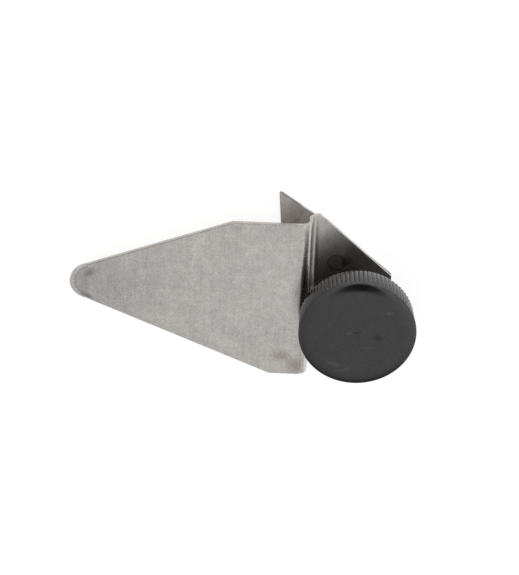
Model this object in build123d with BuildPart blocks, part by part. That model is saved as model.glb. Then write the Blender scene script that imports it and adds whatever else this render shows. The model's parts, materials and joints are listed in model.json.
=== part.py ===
"""Stepped sheet-metal finger plate on a base plate, with a ribbed clamp knob on a stud.

Millimetres, +Z up. The origin is where the stud's axis meets the underside of the base
plate. The finger points along -X, and the bends of its step run along Y. The knob is
drawn raised, with the clamp gap open.
"""

import os

from build123d import *

os.makedirs("parts", exist_ok=True)

# Sheet metal of both plates, and the step between tab and finger. The bends run along Y,
# turned by bend_skew degrees.
sheet = 1.2
bend_inside = 2.4
bend_skew = 0.85
step_height = 8.0
base_top = sheet
tab_top = base_top + sheet
finger_top = tab_top + step_height

# Finger plate, seen from above: taper, straight sides, step and tab
taper_point = (-109.3, 9.6)
tip_radius = 6.4
back_edge_y = 34.2
front_edge_y = -25.1
back_shoulder_x = -43.6
front_shoulder_x = -29.1
wall_face_x = -16.1
tab_cut_start_x = -14.0
tab_cut_end_y = 11.6
tab_end_x = 11.8
tab_front_y = -21.5
relief_x = -15.0
relief_width = 0.5
corner_radius = 0.6

# Low bead pressed into the tip, along its round edge
bead_width = 1.6
bead_height = 0.3

# Base plate, seen from above: its pointed corner stands out behind the finger
base_corner = (-28.4, 42.15)
base_knee = (-13.9, 32.45)
base_lip = 0.1
base_front_left_x = -23.0
base_front_y = -20.5

# Spot welds that join the plates: round electrode marks in the tab
weld_centres = [(-7.5, 16.0), (-2.0, 11.3), (-10.5, -12.0), (4.0, -15.0)]
weld_mark_radius = 2.3
weld_mark_depth = 0.12

# Stud, pressed through both plates, and the stop nut on its end
stud_radius = 3.0
stud_head_radius = 4.2
stud_head_height = 0.8
stud_top = 17.4
stud_chamfer = 0.5
stop_nut_flats = 10.0
stop_nut_height = 2.4
stop_nut_bottom = 14.4
stop_nut_chamfer_radius = 5.2
thread_gap = 0.05

# Clamp washer, held loosely on the insert's neck
travel = 2.5
closed_gap = 0.05
washer_bottom = tab_top + travel + closed_gap
washer_height = 1.6
washer_radius = 9.0
washer_chamfer = 0.3
washer_pocket_radius = 5.5
washer_pocket_depth = 0.95
neck_radius = 4.2
neck_gap = 0.06

# Threaded insert in the knob's hub
hub_gap = 0.05
hub_bottom = washer_bottom + washer_height + hub_gap
insert_radius = 4.8
insert_top = 14.1
flare_radius = 5.0
flare_bottom = washer_bottom + 0.2
flare_top = flare_bottom + 0.6

# Knob body: rounded ribs, side by side, run the whole height of the rim
knob_radius = 19.8
rim_height = 8.6
rim_bottom = 13.4
rim_top = rim_bottom + rim_height
rim_inner_radius = 17.2
rim_chamfer = 0.4
hub_radius = 8.0
web_bottom = 14.2
web_top = 16.4
nut_pocket_radius = 6.6
rib_count = 80
rib_radius = 1.0
rib_root_radius = 19.4

# Knob cap: smooth disc with an elliptical edge, just proud of the ribs, with a spigot in the rim
cap_radius = 20.0
cap_skirt = 0.3
cap_edge_height = 0.9
cap_edge_width = 4.6
cap_top = rim_top + cap_skirt + cap_edge_height
cap_fit = 0.05
cap_disc_bottom = 21.6
spigot_inner_radius = 15.5
spigot_bottom = 20.4

# Far enough to pass right through any of the pieces
clear_through = 150.0
clear_end = 5.0
clear_rim = 0.5


# Base plate
with BuildPart() as base_plate:
    with BuildSketch():
        with BuildLine():
            Polyline(
                base_corner,
                base_knee,
                (tab_end_x, tab_cut_end_y + base_lip),
                (tab_end_x, base_front_y),
                (base_front_left_x, base_front_y),
                close=True,
            )
        make_face()
    extrude(amount=sheet)
    fillet(base_plate.edges().filter_by(Axis.Z), corner_radius)
    Hole(stud_radius)
    with BuildSketch():
        Circle(stud_head_radius)
    extrude(amount=stud_head_height, mode=Mode.SUBTRACT)
base_plate.part.label = "base_plate"
export_step(base_plate.part, "parts/base_plate.step")


# Finger plate: the strip is bent to its step first, then trimmed to its outline
with BuildPart() as finger_plate:
    across_bends = Vector(1, 0, 0).rotate(Axis.Z, bend_skew)
    strip_plane = Plane((0, 0, 0), x_dir=across_bends, z_dir=across_bends.cross(Vector(0, 0, 1)))
    with BuildSketch(strip_plane.offset(-clear_through / 2)):
        with BuildLine() as strip:
            Polyline(
                (tab_end_x + clear_end, tab_top - sheet / 2),
                (wall_face_x - sheet / 2, tab_top - sheet / 2),
                (wall_face_x - sheet / 2, finger_top - sheet / 2),
                (taper_point[0] - clear_end, finger_top - sheet / 2),
            )
            fillet(strip.vertices().sort_by(Axis.X)[1:3], bend_inside + sheet / 2)
            offset(amount=sheet / 2, side=Side.BOTH)
        make_face()
    extrude(amount=clear_through)
    with BuildSketch() as outline:
        with BuildLine():
            Polyline(
                taper_point,
                (back_shoulder_x, back_edge_y),
                (tab_cut_start_x, back_edge_y),
                (tab_end_x, tab_cut_end_y),
                (tab_end_x, tab_front_y),
                (relief_x, tab_front_y),
                (relief_x - relief_width, front_edge_y),
                (front_shoulder_x, front_edge_y),
                close=True,
            )
        make_face()
        fillet(outline.vertices().sort_by(Axis.X)[0], tip_radius)
    extrude(amount=clear_through, mode=Mode.INTERSECT)
    fillet(finger_plate.edges().filter_by(Axis.Z).sort_by(Axis.X)[-2:], corner_radius)
    tip_centre = outline.edges().filter_by(GeomType.CIRCLE)[0].arc_center
    with BuildSketch(Plane.XY.offset(finger_top)):
        with Locations((tip_centre.X, tip_centre.Y)):
            Circle(tip_radius)
        with Locations((tip_centre.X + bead_width, tip_centre.Y)):
            Circle(tip_radius, mode=Mode.SUBTRACT)
    extrude(amount=bead_height)
    with Locations(Plane.XY.offset(tab_top)):
        Hole(stud_radius, depth=sheet)
    with BuildSketch(Plane.XY.offset(tab_top)):
        with Locations(*weld_centres):
            Circle(weld_mark_radius)
    extrude(amount=-weld_mark_depth, mode=Mode.SUBTRACT)
finger_plate.part.label = "finger_plate"
export_step(finger_plate.part, "parts/finger_plate.step")


# Stud, its flat head flush with the underside of the base plate
with BuildPart() as clamp_stud:
    with BuildSketch():
        Circle(stud_head_radius)
    extrude(amount=stud_head_height)
    with BuildSketch():
        Circle(stud_radius)
    extrude(amount=stud_top)
    chamfer(clamp_stud.edges().sort_by(Axis.Z)[-1], stud_chamfer)
clamp_stud.part.label = "clamp_stud"
export_step(clamp_stud.part, "parts/clamp_stud.step")


# Stop nut, hexagonal, its upper corners turned off
with BuildPart() as stop_nut:
    with BuildSketch(Plane.XY.offset(stop_nut_bottom)):
        RegularPolygon(stop_nut_flats / 2, 6, major_radius=False)
        Circle(stud_radius, mode=Mode.SUBTRACT)
    extrude(amount=stop_nut_height)
    with BuildSketch(Plane.XY.offset(stop_nut_bottom + stop_nut_height)):
        Circle(stop_nut_chamfer_radius)
    extrude(amount=-stop_nut_height, taper=-30, mode=Mode.INTERSECT)
stop_nut.part.label = "stop_nut"
export_step(stop_nut.part, "parts/stop_nut.step")


# Clamp washer, with a pocket below for the insert's flared end
with BuildPart() as clamp_washer:
    with BuildSketch(Plane.XY.offset(washer_bottom)):
        Circle(washer_radius)
        Circle(neck_radius + neck_gap, mode=Mode.SUBTRACT)
    extrude(amount=washer_height)
    with BuildSketch(Plane.XY.offset(washer_bottom)):
        Circle(washer_pocket_radius)
    extrude(amount=washer_pocket_depth, mode=Mode.SUBTRACT)
    rims = clamp_washer.edges().filter_by(GeomType.CIRCLE)
    chamfer(rims.filter_by(lambda edge: edge.radius == washer_radius), washer_chamfer)
clamp_washer.part.label = "clamp_washer"
export_step(clamp_washer.part, "parts/clamp_washer.step")


# Threaded insert: barrel in the hub, neck through the washer, flared end below it
with BuildPart() as knob_insert:
    with BuildSketch(Plane.XZ):
        with BuildLine():
            Polyline(
                (stud_radius + thread_gap, flare_bottom),
                (flare_radius, flare_bottom),
                (flare_radius, flare_top),
                (neck_radius, flare_top),
                (neck_radius, hub_bottom),
                (insert_radius, hub_bottom),
                (insert_radius, insert_top),
                (stud_radius + thread_gap, insert_top),
                close=True,
            )
        make_face()
    revolve(axis=Axis.Z)
knob_insert.part.label = "knob_insert"
export_step(knob_insert.part, "parts/knob_insert.step")


# Knob body: hub, web and ribbed rim, open on top for the stop nut and the cap
with BuildPart() as knob_body:
    with BuildSketch(Plane.XY.offset(hub_bottom)):
        Circle(rib_root_radius)
        with PolarLocations(knob_radius - rib_radius, rib_count):
            Circle(rib_radius)
    extrude(amount=rim_top - hub_bottom)
    with BuildSketch(Plane.XZ):
        with BuildLine():
            Polyline(
                (insert_radius, hub_bottom),
                (hub_radius, hub_bottom),
                (hub_radius, web_bottom),
                (rim_inner_radius, web_bottom),
                (rim_inner_radius, rim_bottom),
                (knob_radius - rim_chamfer, rim_bottom),
                (knob_radius + clear_rim, rim_bottom + rim_chamfer + clear_rim),
                (knob_radius + clear_rim, rim_top),
                (rim_inner_radius, rim_top),
                (rim_inner_radius, web_top),
                (nut_pocket_radius, web_top),
                (nut_pocket_radius, insert_top),
                (insert_radius, insert_top),
                close=True,
            )
        make_face()
    revolve(axis=Axis.Z, mode=Mode.INTERSECT)
knob_body.part.label = "knob_body"
export_step(knob_body.part, "parts/knob_body.step")


# Knob cap: flat in the middle, falling away to its edge along a quarter ellipse
with BuildPart() as knob_cap:
    with BuildSketch(Plane.XZ):
        with BuildLine():
            skirt_top = rim_top + cap_skirt
            flat_radius = cap_radius - cap_edge_width
            Line((0, cap_top), (flat_radius, cap_top))
            EllipticalCenterArc(
                (flat_radius, skirt_top), cap_edge_width, cap_edge_height, arc_size=90
            )
            Polyline(
                (cap_radius, skirt_top),
                (cap_radius, rim_top),
                (rim_inner_radius - cap_fit, rim_top),
                (rim_inner_radius - cap_fit, spigot_bottom),
                (spigot_inner_radius, spigot_bottom),
                (spigot_inner_radius, cap_disc_bottom),
                (0, cap_disc_bottom),
                (0, cap_top),
            )
        make_face()
    revolve(axis=Axis.Z)
knob_cap.part.label = "knob_cap"
export_step(knob_cap.part, "parts/knob_cap.step")
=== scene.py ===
"""Stepped finger plate with a ribbed clamp knob: looks, floor, light and camera."""
import json
import math

import bmesh
import bpy
from mathutils import Matrix, Vector

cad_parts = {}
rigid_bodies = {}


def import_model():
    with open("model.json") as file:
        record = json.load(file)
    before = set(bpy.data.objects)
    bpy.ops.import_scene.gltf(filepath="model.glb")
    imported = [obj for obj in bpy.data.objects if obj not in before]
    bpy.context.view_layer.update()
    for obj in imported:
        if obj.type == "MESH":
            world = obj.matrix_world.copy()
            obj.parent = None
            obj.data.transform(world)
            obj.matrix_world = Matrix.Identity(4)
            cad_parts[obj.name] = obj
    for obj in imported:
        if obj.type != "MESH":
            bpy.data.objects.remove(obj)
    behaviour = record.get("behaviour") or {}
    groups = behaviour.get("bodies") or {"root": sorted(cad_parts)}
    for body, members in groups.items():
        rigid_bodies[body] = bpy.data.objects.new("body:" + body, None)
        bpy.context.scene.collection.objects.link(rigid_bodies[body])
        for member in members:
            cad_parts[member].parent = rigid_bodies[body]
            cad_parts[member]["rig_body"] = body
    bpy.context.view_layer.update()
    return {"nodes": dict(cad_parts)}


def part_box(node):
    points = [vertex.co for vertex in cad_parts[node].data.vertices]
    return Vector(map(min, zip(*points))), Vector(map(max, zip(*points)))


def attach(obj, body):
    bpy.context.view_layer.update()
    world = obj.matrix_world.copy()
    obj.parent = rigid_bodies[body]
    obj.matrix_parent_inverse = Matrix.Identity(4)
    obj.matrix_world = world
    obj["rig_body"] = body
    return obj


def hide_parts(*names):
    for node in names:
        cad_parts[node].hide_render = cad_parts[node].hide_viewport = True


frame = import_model()

MM = 0.001

# Camera, as distance, direction and roll around the point it looks at
VIEW_TARGET = Vector((-33.4, 9.2, 10.4)) * MM
VIEW_DISTANCE = 513 * MM
VIEW_AZIMUTH = math.radians(90.78)
VIEW_ELEVATION = math.radians(59.95)
VIEW_ROLL = math.radians(-178.27)
LENS_MM = 93.9
LENS_SHIFT = (-0.0014, 0.0016)

# Light: a brighter side, a dim patch low behind the part, and the dark camera stand overhead
LIGHT_FROM = (0.55, 0.45, 0.7)
LIGHT_LEVELS = (0.62, 1.2)
DIM_LEVEL = 0.2
STAND_CENTRE = (0.08, -0.05)
STAND_REACH = (0.19, 0.43)

# Floor, in metres from its middle, just below the part
FLOOR_HALF = 3.0
FLOOR_DROP = 0.2 * MM
FLOOR_GLOW = 0.79

# From here on, lengths are millimetres. Rounding of edges, with none near a spot weld's axis
PLATE_ROUNDING = 0.26
SMALL_ROUNDING = 0.1
ROUNDING_SEGMENTS = 3
SAME_POINT = 0.002
SAME_PLANE_DEGREES = 0.3
WELD_CLEARANCE = 2.6

# Knob: rounded ribs round the rim, smooth cap with an elliptical edge
RIB_COUNT = 80
RIB_RADIUS = 1.0
RIB_STEPS = 12
RIB_END_ROUND = 0.25
RIBBED_BEYOND = 19.0
LATHE_STEPS = 240
CAP_FLAT_PART = 0.77
CAP_ARC_STEPS = 28
CAP_SKIRT = 0.3
CAP_DISC_BOTTOM = 21.6
SPIGOT_OUTER = 17.15
SPIGOT_INNER = 15.5
SPIGOT_EDGE = 0.2

# Section of the knob's body
BODY_BORE = 4.85
HUB_RADIUS = 8.0
RIM_INNER = 17.2
RIM_BOTTOM = 13.4
WEB_BOTTOM = 14.2
WEB_TOP = 16.4
POCKET_RADIUS = 6.6
POCKET_BOTTOM = 14.1

# Stud: flat head, rolled thread
STUD_RADIUS = 3.0
HEAD_HEIGHT = 0.8
HEAD_EDGE = 0.1
STUD_CHAMFER = 0.5
THREAD_PITCH = 1.0
THREAD_DEPTH = 0.45
THREAD_START = 2.6
THREAD_FADE = 0.5
THREAD_STEPS = 48
THREAD_ROWS = 8

# Seam between the two plates, middle of the step's wall, and the spot welds in the tab
SEAM_HEIGHT = 1.2
WALL_MIDDLE = -16.7
WELD_CENTRES = [(-7.5, 16.0), (-2.0, 11.3), (-10.5, -12.0), (4.0, -15.0)]

# Most of a noise texture's values lie between these
NOISE_LOW, NOISE_HIGH = 0.3, 0.7

# Colors of the stains on the steel
GREY_BLUE = (0.55, 0.555, 0.575)
WARM = (0.67, 0.63, 0.585)
SMUDGE = (0.30, 0.29, 0.285)
BROWN = (0.40, 0.355, 0.32)
SCORCH = (0.15, 0.10, 0.07)
PALE = (0.74, 0.71, 0.68)
DULL = (0.50, 0.475, 0.455)

# Colors of its edges, marks and pits
CUT_EDGE = (0.30, 0.29, 0.265)
SEAM_SHADOW = (0.05, 0.047, 0.045)
# Painted dark reflection, beside edges and along the step's upper bend
PAINTED_DARK_REFLECTION = (0.22, 0.21, 0.20)
# Painted highlight on the tip's bead, and painted shade in its crease
BEAD_HIGHLIGHT = (0.70, 0.68, 0.65)
BEAD_CREASE_SHADE = (0.33, 0.32, 0.315)
WELD_HAZE = (0.36, 0.27, 0.21)
WELD_HEAT = (0.66, 0.52, 0.38)
WELD_OUTLINE = (0.22, 0.13, 0.08)
WELD_DISC = (0.46, 0.40, 0.38)
PIT = (0.09, 0.08, 0.075)

# Colors of the other materials
ZINC = (0.72, 0.73, 0.74)
ZINC_SHADE = (0.8, 0.83, 0.9)
BRASS_BRIGHT = (0.72, 0.52, 0.22)
BRASS_TARNISHED = (0.5, 0.33, 0.13)
PLASTIC_DEEP = (0.0035, 0.0036, 0.0036)
PLASTIC_RAISED = (0.0095, 0.0097, 0.0097)
SCUFF = (0.08, 0.08, 0.08)


# ---- Node graphs -----------------------------------------------------------------------


def rgb(*values):
    return (*values, 1.0)


class Graph:
    """Node graph of a material or of the world."""

    def __init__(self, tree):
        self.nodes = tree.nodes
        self.links = tree.links

    def node(self, kind, inputs=(), **settings):
        made = self.nodes.new(kind)
        for key, value in settings.items():
            setattr(made, key, value)
        for key, value in dict(inputs).items():
            self.feed(made.inputs[key], value)
        return made

    def feed(self, socket, value):
        if isinstance(value, bpy.types.NodeSocket):
            self.links.new(value, socket)
        else:
            socket.default_value = value

    def place(self):
        """The point on the surface, in millimetres in the part's frame."""
        where = self.node("ShaderNodeTexCoord").outputs["Object"]
        return self.vector("SCALE", where, factor=1 / MM)

    def split(self, vector):
        return self.node("ShaderNodeSeparateXYZ", {"Vector": vector}).outputs

    def math(self, operation, a, b=0.0):
        return self.node("ShaderNodeMath", {0: a, 1: b}, operation=operation).outputs[0]

    def product(self, first, *others):
        for other in others:
            first = self.math("MULTIPLY", first, other)
        return first

    def gap(self, value, level):
        """How far a value is from a level, whichever side it is on."""
        return self.math("ABSOLUTE", self.math("SUBTRACT", value, level))

    def vector(self, operation, a, b=(0.0, 0.0, 0.0), factor=None):
        made = self.node("ShaderNodeVectorMath", {0: a}, operation=operation)
        if factor is None:
            self.feed(made.inputs[1], b)
        else:
            self.feed(made.inputs["Scale"], factor)
        return made.outputs["Value" if operation in ("LENGTH", "DOT_PRODUCT") else "Vector"]

    def noise(self, where, scale, detail=2.0, roughness=0.5):
        made = self.node("ShaderNodeTexNoise", {
            "Vector": where, "Scale": scale, "Detail": detail, "Roughness": roughness,
        })
        return made.outputs["Fac"]

    def ramp(self, value, low, high, to_low=0.0, to_high=1.0, smooth=True):
        made = self.node("ShaderNodeMapRange", {
            "Value": value, "From Min": low, "From Max": high,
            "To Min": to_low, "To Max": to_high,
        })
        if smooth:
            made.interpolation_type = "SMOOTHSTEP"
        return made.outputs["Result"]

    def spread(self, noise, low, high, smooth=False):
        """A noise texture's value, carried over to the range from low to high."""
        return self.ramp(noise, NOISE_LOW, NOISE_HIGH, low, high, smooth)

    def mix(self, factor, a, b):
        made = self.node("ShaderNodeMix", data_type="RGBA", blend_type="MIX")
        self.feed(made.inputs[0], factor)
        self.feed(made.inputs[6], a)
        self.feed(made.inputs[7], b)
        return made.outputs[2]

    def paint(self, tint, color, *masks):
        """The tint, with a color over it where the masks' product is 1."""
        return self.mix(self.product(*masks), tint, rgb(*color))

    def from_centre(self, where, centre):
        return self.vector("SUBTRACT", where, (centre[0], centre[1], 0.0))

    def distance(self, where, centre):
        """Distance from a point, seen from above."""
        local = self.from_centre(where, centre)
        return self.vector("LENGTH", self.vector("MULTIPLY", local, (1.0, 1.0, 0.0)))

    def blob(self, where, centre, reach, edge, turn=0.0):
        """1 inside an ellipse, fading to 0 at its rim over the part edge of its reach."""
        local = self.from_centre(where, centre)
        if turn:
            spin = self.node(
                "ShaderNodeVectorRotate", {"Vector": local, "Angle": -math.radians(turn)},
                rotation_type="Z_AXIS",
            )
            local = spin.outputs["Vector"]
        flat = self.vector("MULTIPLY", local, (1 / reach[0], 1 / reach[1], 0.0))
        return self.ramp(self.vector("LENGTH", flat), 1.0, 1.0 - edge)

    def ring(self, where, centre, radius, width):
        """1 on a circle on the surface, fading to 0 at width from it."""
        return self.ramp(self.gap(self.distance(where, centre), radius), width, 0.0)

    def edge_line(self, where, start, end, inset, width, fade=2.0):
        """1 on a line beside a straight edge from start to end, inset from it, fading at width."""
        run = Vector((end[0] - start[0], end[1] - start[1], 0.0))
        along = run.normalized()
        inward = Vector((along.y, -along.x, 0.0))
        local = self.from_centre(where, start)
        across = self.gap(self.vector("DOT_PRODUCT", local, inward), inset)
        reach = self.vector("DOT_PRODUCT", local, along)
        started = self.ramp(reach, 0.0, fade)
        ended = self.ramp(reach, run.length, run.length - fade)
        return self.product(self.ramp(across, width, 0.0), started, ended)

    def wavy(self, where, scale, amount):
        """The same coordinates, pushed about by noise, so that patches get ragged edges."""
        push = self.node("ShaderNodeTexNoise", {"Vector": where, "Scale": scale, "Detail": 3.0})
        centred = self.vector("SUBTRACT", push.outputs["Color"], (0.5, 0.5, 0.5))
        return self.vector("ADD", where, self.vector("SCALE", centred, factor=amount))

    def pits(self, where):
        """Small round pits, one at most in each cell of a jittered grid."""
        cells = self.node("ShaderNodeTexVoronoi", {"Vector": where, "Scale": 0.4})
        near = self.ramp(cells.outputs["Distance"], 0.22, 0.1)
        lot = self.node("ShaderNodeSeparateColor", {"Color": cells.outputs["Color"]})
        chosen = self.math("GREATER_THAN", lot.outputs["Red"], 0.5)
        return self.product(near, chosen)


# ---- Materials -------------------------------------------------------------------------


def new_material(name):
    material = bpy.data.materials.new(name)
    material.use_nodes = True
    graph = Graph(material.node_tree)
    return material, graph, material.node_tree.nodes["Principled BSDF"]


def set_surface(graph, bsdf, color, roughness, relief, strength, depth, metallic=1.0):
    """Color, roughness and a fine relief, whose bumps are depth millimetres high."""
    graph.feed(bsdf.inputs["Metallic"], metallic)
    graph.feed(bsdf.inputs["Base Color"], color)
    graph.feed(bsdf.inputs["Roughness"], roughness)
    bump = graph.node("ShaderNodeBump", {
        "Strength": strength, "Distance": depth * MM, "Height": relief,
    })
    graph.feed(bsdf.inputs["Normal"], bump.outputs["Normal"])


def paint_bead(graph, tint, where, place, top, centre, radius):
    """Painted highlight on the bead at the finger's round tip, and painted shade in its crease."""
    end = graph.product(graph.ramp(place["X"], centre[0] - 0.5, centre[0] - 3.0), top)
    band = graph.ramp(graph.distance(where, centre), radius - 0.2, radius + 0.3)
    tint = graph.paint(tint, BEAD_HIGHLIGHT, band, end, 0.6)
    crease = graph.ring(where, centre, radius - 0.3, 0.6)
    return graph.paint(tint, BEAD_CREASE_SHADE, crease, end, 0.45)


def paint_sides(graph, tint, place, facing):
    """Darker cut edges, but not the step's wall, and painted shadow in the seam between the
    plates.
    """
    steep = graph.ramp(graph.math("ABSOLUTE", facing["X"]), 0.2, 0.5)
    wall = graph.product(graph.ramp(graph.gap(place["X"], WALL_MIDDLE), 4.5, 3.8), steep)
    side = graph.ramp(graph.math("ABSOLUTE", facing["Z"]), 0.98, 0.8)
    side = graph.product(side, graph.math("SUBTRACT", 1.0, wall))
    tint = graph.paint(tint, CUT_EDGE, side, 0.45)
    # Painted shadow in the seam between the plates
    seam = graph.ramp(graph.gap(place["Z"], SEAM_HEIGHT), 0.35, 0.1)
    return graph.paint(tint, SEAM_SHADOW, seam, side, 0.9)


def paint_weld(graph, tint, where, ragged, uneven, centre):
    """Brown haze, faint heat ring, dark outline and duller disc of a spot weld."""
    tint = graph.paint(tint, WELD_HAZE, graph.blob(ragged, centre, (6.5, 5.0), edge=1.0), 0.4)
    tint = graph.paint(tint, WELD_HEAT, graph.ring(uneven, centre, 3.6, 0.5), 0.3)
    tint = graph.paint(tint, WELD_OUTLINE, graph.ring(uneven, centre, 2.75, 0.9), 0.65)
    return graph.paint(tint, WELD_DISC, graph.blob(where, centre, (2.3, 2.3), edge=0.3), 0.7)


def sheet_steel(name, color, roughness, patches=(), pitted=None, welds=(), edges=(), tip=None):
    """Dull cold-rolled sheet: speckle, clouds, rolling lines; stains and pits on the top face;
    painted dark reflections beside edges, and painted highlight and shade on the tip's bead.
    """
    material, graph, bsdf = new_material(name)
    where = graph.place()
    place = graph.split(where)
    facing = graph.split(graph.node("ShaderNodeTexCoord").outputs["Normal"])
    top = graph.ramp(facing["Z"], 0.3, 0.8)
    ragged = graph.wavy(where, 0.22, 5.0)
    uneven = graph.wavy(where, 0.9, 1.0)

    speckle = graph.noise(where, 2.0, 3.0, 0.7)
    mottle = graph.noise(where, 0.4, 3.0, 0.6)
    clouds = graph.noise(where, 0.14, 5.0, 0.65)
    rolled = graph.noise(graph.vector("MULTIPLY", where, (1.3, 0.04, 1.0)), 1.0, 3.0, 0.6)
    layers = ((speckle, 0.2), (mottle, 0.08), (clouds, 0.09), (rolled, 0.05))
    shade = graph.product(*(
        graph.spread(layer, 1 - contrast, 1 + contrast) for layer, contrast in layers
    ))

    cool = rgb(color[0] * 0.985, color[1] * 0.995, color[2] * 1.015)
    tint = graph.mix(clouds, cool, rgb(*color))
    for centre, reach, turn, patch_color, amount in patches:
        pushed = ragged if max(reach) > 5 else uneven
        patch = graph.blob(pushed, centre, reach, edge=0.9, turn=turn)
        tint = graph.paint(tint, patch_color, patch, amount, top)
    # Painted highlight and shade on the tip's bead
    if tip:
        tint = paint_bead(graph, tint, where, place, top, *tip)
    tint = paint_sides(graph, tint, place, facing)
    # Painted dark reflections beside edges and along the step's upper bend, on top-facing surface
    for start, end, inset, width, amount in edges:
        line = graph.edge_line(where, start, end, inset, width)
        tint = graph.paint(tint, PAINTED_DARK_REFLECTION, line, amount, top)
    for centre in welds:
        tint = paint_weld(graph, tint, where, ragged, uneven, centre)
    if pitted:
        region = graph.blob(where, *pitted, edge=0.5)
        tint = graph.paint(tint, PIT, graph.pits(where), region, 0.5, top)
    tint = graph.vector("SCALE", tint, factor=shade)

    rough = graph.spread(clouds, roughness - 0.03, roughness + 0.03)
    if welds:
        # The tab, below the step, is a little rougher than the finger
        rough = graph.math("ADD", rough, graph.ramp(place["Z"], 4.0, 2.4, 0.0, 0.05))
    relief = graph.math("ADD", speckle, graph.product(rolled, 0.5))
    set_surface(graph, bsdf, tint, rough, relief, strength=0.05, depth=0.05)
    return material


def zinc(name):
    """Zinc plating: a slightly cloudy, bluish bright metal."""
    material, graph, bsdf = new_material(name)
    where = graph.place()
    clouds = graph.noise(where, 0.9, 3.0)
    cloudy = [part * shade for part, shade in zip(ZINC, ZINC_SHADE)]
    tint = graph.mix(clouds, rgb(*ZINC), rgb(*cloudy))
    rough = graph.spread(clouds, 0.24, 0.36, smooth=True)
    fine = graph.noise(where, 9.0, 2.0)
    set_surface(graph, bsdf, tint, rough, fine, strength=0.1, depth=0.02)
    return material


def brass(name):
    """Turned brass: fine rings round the axis, slightly tarnished."""
    material, graph, bsdf = new_material(name)
    where = graph.place()
    rings = graph.noise(graph.vector("MULTIPLY", where, (0.3, 0.3, 9.0)), 1.0, 2.0)
    tarnish = graph.noise(where, 0.5, 3.0)
    tint = graph.mix(tarnish, rgb(*BRASS_BRIGHT), rgb(*BRASS_TARNISHED))
    rough = graph.spread(rings, 0.22, 0.36, smooth=True)
    set_surface(graph, bsdf, tint, rough, rings, strength=0.2, depth=0.02)
    return material


def black_plastic(name, roughness, scuffs=(), dents=()):
    """Moulded black plastic: fine spark-eroded grain, faint clouds and a few light scuffs."""
    material, graph, bsdf = new_material(name)
    where = graph.place()
    ragged = graph.wavy(where, 0.6, 1.6)
    grain = graph.noise(where, 2.0, 3.0, 0.6)
    clouds = graph.noise(where, 0.22, 3.0)
    tint = graph.mix(grain, rgb(*PLASTIC_DEEP), rgb(*PLASTIC_RAISED))
    for centre, reach, turn, amount in scuffs:
        scuff = graph.blob(ragged, centre, reach, edge=0.9, turn=turn)
        tint = graph.paint(tint, SCUFF, scuff, amount)
    gloss = graph.ramp(grain, 0.35, 0.65, 0.66, 0.88, smooth=False)
    for centre, reach, amount in dents:
        dent = graph.product(graph.blob(ragged, centre, reach, edge=0.9), amount)
        gloss = graph.product(gloss, graph.math("SUBTRACT", 1.0, dent))
    graph.feed(bsdf.inputs["Specular IOR Level"], gloss)
    rough = graph.spread(clouds, roughness - 0.02, roughness + 0.02)
    set_surface(graph, bsdf, tint, rough, grain, strength=0.22, depth=0.05, metallic=0.0)
    return material


# ---- Geometry --------------------------------------------------------------------------


def link_mesh(edit, name):
    """A new object in the scene, smooth shaded, from a bmesh that ends here."""
    for face in edit.faces:
        face.smooth = True
    mesh = bpy.data.meshes.new(name)
    edit.to_mesh(mesh)
    edit.free()
    piece = bpy.data.objects.new(name, mesh)
    bpy.context.scene.collection.objects.link(piece)
    return piece


def drawn_piece(name, mesh_edit, sharp_above=30):
    """A piece whose geometry mesh_edit adds to an empty bmesh."""
    edit = bmesh.new()
    mesh_edit(edit)
    bmesh.ops.recalc_face_normals(edit, faces=edit.faces)
    for edge in edit.edges:
        if len(edge.link_faces) == 2:
            edge.smooth = edge.calc_face_angle() < math.radians(sharp_above)
    return link_mesh(edit, name)


def near_weld(edge):
    """Whether an edge is near a spot weld, seen from above.

    Height is ignored, so the washer's edge above a weld counts too and stays sharp.
    """
    middle = (edge.verts[0].co + edge.verts[1].co) / 2 / MM
    return any(
        math.hypot(middle.x - x, middle.y - y) < WELD_CLEARANCE for x, y in WELD_CENTRES
    )


def rounded_piece(node, radius, sharp_above=35):
    """A piece with the CAD node's own shape, its outer edges slightly rounded."""
    edit = bmesh.new()
    edit.from_mesh(frame["nodes"][node].data)
    bmesh.ops.remove_doubles(edit, verts=edit.verts, dist=SAME_POINT * MM)
    bmesh.ops.dissolve_limit(
        edit, angle_limit=math.radians(SAME_PLANE_DEGREES), verts=edit.verts, edges=edit.edges,
    )
    limit = math.radians(sharp_above)
    sharp = [
        edge for edge in edit.edges
        if len(edge.link_faces) == 2 and edge.calc_face_angle() > limit and edge.is_convex
        and not near_weld(edge)
    ]
    bmesh.ops.bevel(
        edit, geom=sharp, offset=radius * MM, offset_type="OFFSET",
        segments=ROUNDING_SEGMENTS, profile=0.5, affect="EDGES", clamp_overlap=True,
    )
    piece = link_mesh(edit, node + "_rounded")
    even = piece.modifiers.new("even_normals", "WEIGHTED_NORMAL")
    even.weight = 100
    return piece


def lathe(edit, profile, steps, shape=None):
    """Closed profile of (radius, height), turned round the Z axis.

    shape(radius, height, angle) may return another radius. A radius of 0 makes a pole.
    """
    rings = []
    for radius, height in profile:
        if radius == 0:
            rings.append([edit.verts.new((0, 0, height * MM))])
            continue
        ring = []
        for step in range(steps):
            angle = 2 * math.pi * step / steps
            reach = shape(radius, height, angle) if shape else radius
            ring.append(edit.verts.new((
                reach * math.cos(angle) * MM, reach * math.sin(angle) * MM, height * MM,
            )))
        rings.append(ring)
    for lower, upper in zip(rings, rings[1:] + rings[:1]):
        if len(lower) == 1 and len(upper) == 1:
            continue
        for step in range(steps):
            after = (step + 1) % steps
            if len(lower) == 1:
                edit.faces.new((lower[0], upper[step], upper[after]))
            elif len(upper) == 1:
                edit.faces.new((lower[step], lower[after], upper[0]))
            else:
                edit.faces.new((lower[step], lower[after], upper[after], upper[step]))


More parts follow.
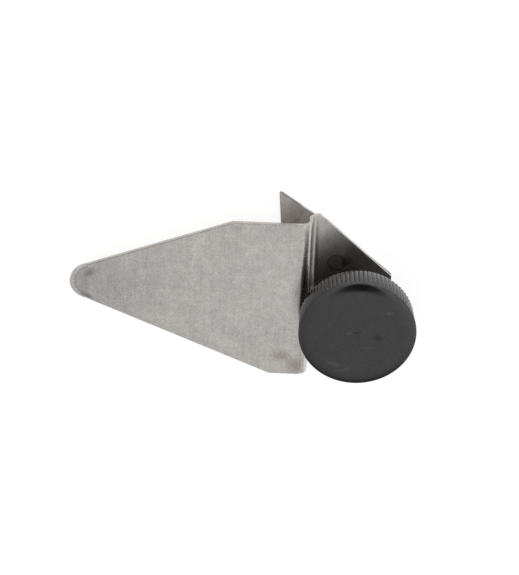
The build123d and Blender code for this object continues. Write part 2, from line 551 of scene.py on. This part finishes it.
def draw_cap(edit):
    """Flat in the middle, falling away along a quarter ellipse, with a spigot below."""
    low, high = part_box("knob_cap")
    outer, top, bottom = high.x / MM, high.z / MM, low.z / MM
    flat = outer * CAP_FLAT_PART
    body_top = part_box("knob_body")[1].z / MM
    skirt_top = body_top + CAP_SKIRT
    profile = [(0, top), (flat * 0.5, top), (flat, top)]
    for step in range(1, CAP_ARC_STEPS + 1):
        turn = 0.5 * math.pi * step / CAP_ARC_STEPS
        profile.append((
            flat + (outer - flat) * math.sin(turn),
            skirt_top + (top - skirt_top) * math.cos(turn),
        ))
    profile += [
        (outer, body_top),
        (SPIGOT_OUTER, body_top),
        (SPIGOT_OUTER, bottom + SPIGOT_EDGE),
        (SPIGOT_OUTER - SPIGOT_EDGE, bottom),
        (SPIGOT_INNER + SPIGOT_EDGE, bottom),
        (SPIGOT_INNER, bottom + SPIGOT_EDGE),
        (SPIGOT_INNER, CAP_DISC_BOTTOM),
        (0, CAP_DISC_BOTTOM),
    ]
    lathe(edit, profile, LATHE_STEPS)


def draw_body(edit):
    """Hub, web and ribbed rim, open on top, with most of its corners eased."""
    low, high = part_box("knob_body")
    bottom, top, outer = low.z / MM, high.z / MM, high.x / MM
    rib_centre = outer - RIB_RADIUS
    pitch = 2 * math.pi / RIB_COUNT

    def ribbed(radius, height, angle):
        """Outside RIBBED_BEYOND, arcs of RIB_RADIUS side by side."""
        if radius < RIBBED_BEYOND:
            return radius
        away = (angle + pitch / 2) % pitch - pitch / 2
        across = rib_centre * math.sin(away)
        rib = rib_centre * math.cos(away) + math.sqrt(RIB_RADIUS ** 2 - across ** 2)
        return rib - (outer - radius)

    profile = [
        # Hub and underside of the web
        (BODY_BORE, bottom),
        (HUB_RADIUS - 0.3, bottom),
        (HUB_RADIUS, bottom + 0.3),
        (HUB_RADIUS, WEB_BOTTOM - 0.5),
        (HUB_RADIUS + 0.5, WEB_BOTTOM),
        (RIM_INNER - 0.3, WEB_BOTTOM),
        # Rim
        (RIM_INNER, WEB_BOTTOM - 0.2),
        (RIM_INNER, RIM_BOTTOM + 0.1),
        (RIM_INNER + 0.1, RIM_BOTTOM),
        (outer - 0.5, RIM_BOTTOM),
        (outer - 0.3, RIM_BOTTOM + 0.06),
        (outer - 0.1, RIM_BOTTOM + 0.22),
        (outer, RIM_BOTTOM + 0.5),
        (outer, top - RIB_END_ROUND),
        (outer - 0.07, top - RIB_END_ROUND * 0.35),
        (outer - 0.2, top),
        (RIM_INNER, top),
        # Top of the web, and the nut's pocket
        (RIM_INNER, WEB_TOP + 0.4),
        (RIM_INNER - 0.4, WEB_TOP),
        (POCKET_RADIUS + 0.4, WEB_TOP),
        (POCKET_RADIUS, WEB_TOP - 0.3),
        (POCKET_RADIUS, POCKET_BOTTOM),
        (BODY_BORE, POCKET_BOTTOM),
    ]
    lathe(edit, profile, RIB_COUNT * RIB_STEPS, ribbed)


def draw_stud(edit):
    """Stud with a rolled thread above its flat head."""
    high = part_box("clamp_stud")[1]
    head, top = high.x / MM, high.z / MM
    core = STUD_RADIUS - THREAD_DEPTH
    thread_end = top - STUD_CHAMFER
    lift = THREAD_PITCH / THREAD_ROWS
    rows = int((thread_end - THREAD_START) / lift)
    # This radius marks the points of the profile that the thread is cut into
    threaded = STUD_RADIUS - 0.0001

    def thread(radius, height, angle):
        if radius != threaded:
            return radius
        wave = (height / THREAD_PITCH - angle / (2 * math.pi)) % 1.0
        flank = min(1.0, max(0.0, abs(2 * wave - 1) * 1.4 - 0.2))
        cut = core + (STUD_RADIUS - core) * flank
        ease = min(
            1.0, (height - THREAD_START) / THREAD_FADE, (thread_end - height) / THREAD_FADE,
        )
        return STUD_RADIUS + (cut - STUD_RADIUS) * max(0.0, ease)

    profile = [
        (0, 0),
        (head, 0),
        (head, HEAD_HEIGHT - HEAD_EDGE),
        (head - HEAD_EDGE, HEAD_HEIGHT),
        (STUD_RADIUS, HEAD_HEIGHT),
        (STUD_RADIUS, THREAD_START - 0.05),
    ]
    profile += [(threaded, THREAD_START + lift * row) for row in range(rows + 1)]
    profile += [
        (STUD_RADIUS - 0.02, thread_end),
        (STUD_RADIUS - STUD_CHAMFER, top),
        (0, top),
    ]
    lathe(edit, profile, THREAD_STEPS, thread)


def fit_piece(piece, node, material):
    """The piece takes the CAD node's place, rides on its body and wears the material."""
    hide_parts(node)
    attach(piece, frame["nodes"][node]["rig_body"])
    piece.data.materials.clear()
    piece.data.materials.append(material)


# ---- Floor, light, camera --------------------------------------------------------------


def make_floor():
    """A white studio table that glows a little, so that shadows on it stay faint."""
    mesh = bpy.data.meshes.new("floor")
    half = FLOOR_HALF
    mesh.from_pydata(
        [(-half, -half, 0), (half, -half, 0), (half, half, 0), (-half, half, 0)],
        [],
        [(0, 1, 2, 3)],
    )
    floor = bpy.data.objects.new("floor", mesh)
    floor.location.z = -FLOOR_DROP
    bpy.context.scene.collection.objects.link(floor)
    material, graph, bsdf = new_material("studio_table")
    graph.feed(bsdf.inputs["Base Color"], rgb(0.3, 0.3, 0.3))
    graph.feed(bsdf.inputs["Roughness"], 0.6)
    graph.feed(bsdf.inputs["Emission Color"], rgb(1.0, 1.0, 1.0))
    graph.feed(bsdf.inputs["Emission Strength"], FLOOR_GLOW)
    mesh.materials.append(material)


def make_light():
    """A white tent, dimmer towards -Y at the horizon, with the dark camera stand above."""
    world = bpy.data.worlds.new("studio")
    bpy.context.scene.world = world
    world.use_nodes = True
    graph = Graph(world.node_tree)
    way = graph.node("ShaderNodeTexCoord").outputs["Generated"]
    axis = graph.split(way)
    facing = graph.vector("DOT_PRODUCT", way, Vector(LIGHT_FROM).normalized())
    level = graph.ramp(facing, 0.1, 1.0, *LIGHT_LEVELS)
    low = graph.ramp(axis["Z"], 0.82, 0.35)
    behind = graph.ramp(axis["Y"], -0.2, -0.8)
    middle = graph.ramp(graph.math("ABSOLUTE", axis["X"]), 0.6, 0.25)
    dim = graph.product(low, behind, middle)
    level = graph.product(level, graph.ramp(dim, 0.0, 1.0, 1.0, DIM_LEVEL, smooth=False))
    slant = graph.node("ShaderNodeCombineXYZ", {
        "X": graph.math("DIVIDE", axis["X"], axis["Z"]),
        "Y": graph.math("DIVIDE", axis["Y"], axis["Z"]),
    }).outputs["Vector"]
    overhead = graph.math("GREATER_THAN", axis["Z"], 0.3)
    stand = graph.product(graph.blob(slant, STAND_CENTRE, STAND_REACH, edge=0.3), overhead)
    level = graph.product(level, graph.math("SUBTRACT", 1.0, stand))
    background = world.node_tree.nodes["Background"]
    graph.feed(background.inputs["Color"], rgb(1, 1, 1))
    graph.feed(background.inputs["Strength"], level)
    bpy.context.scene.view_settings.view_transform = "Standard"


def make_camera():
    """A long lens at the photograph's angle, turned so that the finger points left."""
    back = Vector((
        math.cos(VIEW_ELEVATION) * math.cos(VIEW_AZIMUTH),
        math.cos(VIEW_ELEVATION) * math.sin(VIEW_AZIMUTH),
        math.sin(VIEW_ELEVATION),
    ))
    level_right = Vector((-math.sin(VIEW_AZIMUTH), math.cos(VIEW_AZIMUTH), 0.0))
    level_up = back.cross(level_right)
    right = math.cos(VIEW_ROLL) * level_right + math.sin(VIEW_ROLL) * level_up
    up = back.cross(right)
    matrix = Matrix((right, up, back)).transposed().to_4x4()
    matrix.translation = VIEW_TARGET + VIEW_DISTANCE * back
    camera_data = bpy.data.cameras.new("camera")
    camera_data.lens = LENS_MM
    camera_data.shift_x, camera_data.shift_y = LENS_SHIFT
    camera_data.clip_start = 0.01
    camera = bpy.data.objects.new("camera", camera_data)
    camera.matrix_world = matrix
    bpy.context.scene.collection.objects.link(camera)
    bpy.context.scene.camera = camera


# ---- The part --------------------------------------------------------------------------


finger_steel = sheet_steel(
    "finger_steel", (0.615, 0.583, 0.552), 0.26,
    patches=[
        # centre, reach, turn, color, amount
        ((-88, 9), (32, 18), 0, DULL, 0.8),
        ((-30, 10), (20, 30), 0, PALE, 0.3),
        ((-76, 12), (15, 8), 15, GREY_BLUE, 0.45),
        ((-37, 16), (8, 6), 0, GREY_BLUE, 0.3),
        ((-44, -8), (5.5, 3), 0, GREY_BLUE, 0.35),
        ((-64, -4), (12, 4), -25, WARM, 0.6),
        ((-47, -12), (14, 4), -25, WARM, 0.5),
        ((-54, 25), (7, 6), 0, WARM, 0.5),
        ((-56, 18), (1.2, 13), 0, PALE, 0.45),
        ((-24.5, 8), (4.5, 24), 0, PALE, 0.3),
        ((-92, 12.5), (4, 2.2), 35, SMUDGE, 0.95),
        ((-93, 4), (4, 1.3), -30, SMUDGE, 0.8),
        ((-94, 8), (2.5, 5), 0, SMUDGE, 0.3),
        ((-4.5, 16.5), (3, 3), 0, SCORCH, 0.7),
        ((-42, 32), (3.5, 1.3), 0, SMUDGE, 0.3),
        ((-25, -17.5), (5, 3.5), 0, BROWN, 0.75),
        ((-20, -22), (5.5, 6), 0, BROWN, 0.85),
        ((-24, -21), (0.6, 3), 0, PALE, 0.7),
    ],
    pitted=((-81, 5), (7, 4)),
    welds=WELD_CENTRES,
    # Painted dark reflections beside the upper slanted edge and the back edge, and along the
    # step's upper bend
    edges=[
        # start, end, inset, width, amount
        ((-92, 16), (-43.6, 34.2), 0.35, 0.35, 0.5),
        ((-43.6, 34.2), (-19, 34.2), 0.35, 0.3, 0.25),
        ((-20.1, 34), (-19.2, -25), -1.0, 0.9, 0.55),
    ],
    # Tip bead's centre and radius, for its painted highlight and shade
    tip=((-90.6, 9.2), 6.4),
)
base_steel = sheet_steel(
    "base_steel", (0.63, 0.59, 0.56), 0.45,
    # Painted dark reflection beside the base's slanted edge
    edges=[((-28.4, 42.2), (-13.9, 32.5), 0.35, 0.35, 0.5)],
)
plated_steel = zinc("plated_steel")
cap_plastic = black_plastic(
    "cap_plastic", 0.14,
    scuffs=[
        # centre, reach, turn, amount
        ((-7, -12), (4, 1.3), -20, 0.28),
        ((-3, -14), (3.5, 1.1), 10, 0.28),
        ((10, 9), (2.6, 1), 0, 0.35),
        ((-3, 0.5), (2.4, 0.8), 0, 0.3),
        ((4, -5), (3.5, 0.9), 0, 0.25),
    ],
    dents=[
        # centre, reach, amount
        ((0, 1), (1.8, 1), 0.35),
        ((7, -1), (2, 2), 0.3),
    ],
)

for node, radius, slot, material in (
    ("finger_plate", PLATE_ROUNDING, "finger_steel", finger_steel),
    ("base_plate", PLATE_ROUNDING, "base_steel", base_steel),
    ("stop_nut", SMALL_ROUNDING, "plated_steel", plated_steel),
    ("clamp_washer", SMALL_ROUNDING, "plated_steel", plated_steel),
    ("knob_insert", SMALL_ROUNDING, "insert_brass", brass("insert_brass")),
):
    fit_piece(rounded_piece(node, radius), node, material)

cap = drawn_piece("knob_cap_smooth", draw_cap)
fit_piece(cap, "knob_cap", cap_plastic)
body = drawn_piece("knob_body_ribbed", draw_body, sharp_above=40)
fit_piece(body, "knob_body", black_plastic("rim_plastic", 0.15))
stud = drawn_piece("clamp_stud_threaded", draw_stud, sharp_above=50)
fit_piece(stud, "clamp_stud", plated_steel)

make_floor()
make_light()
make_camera()
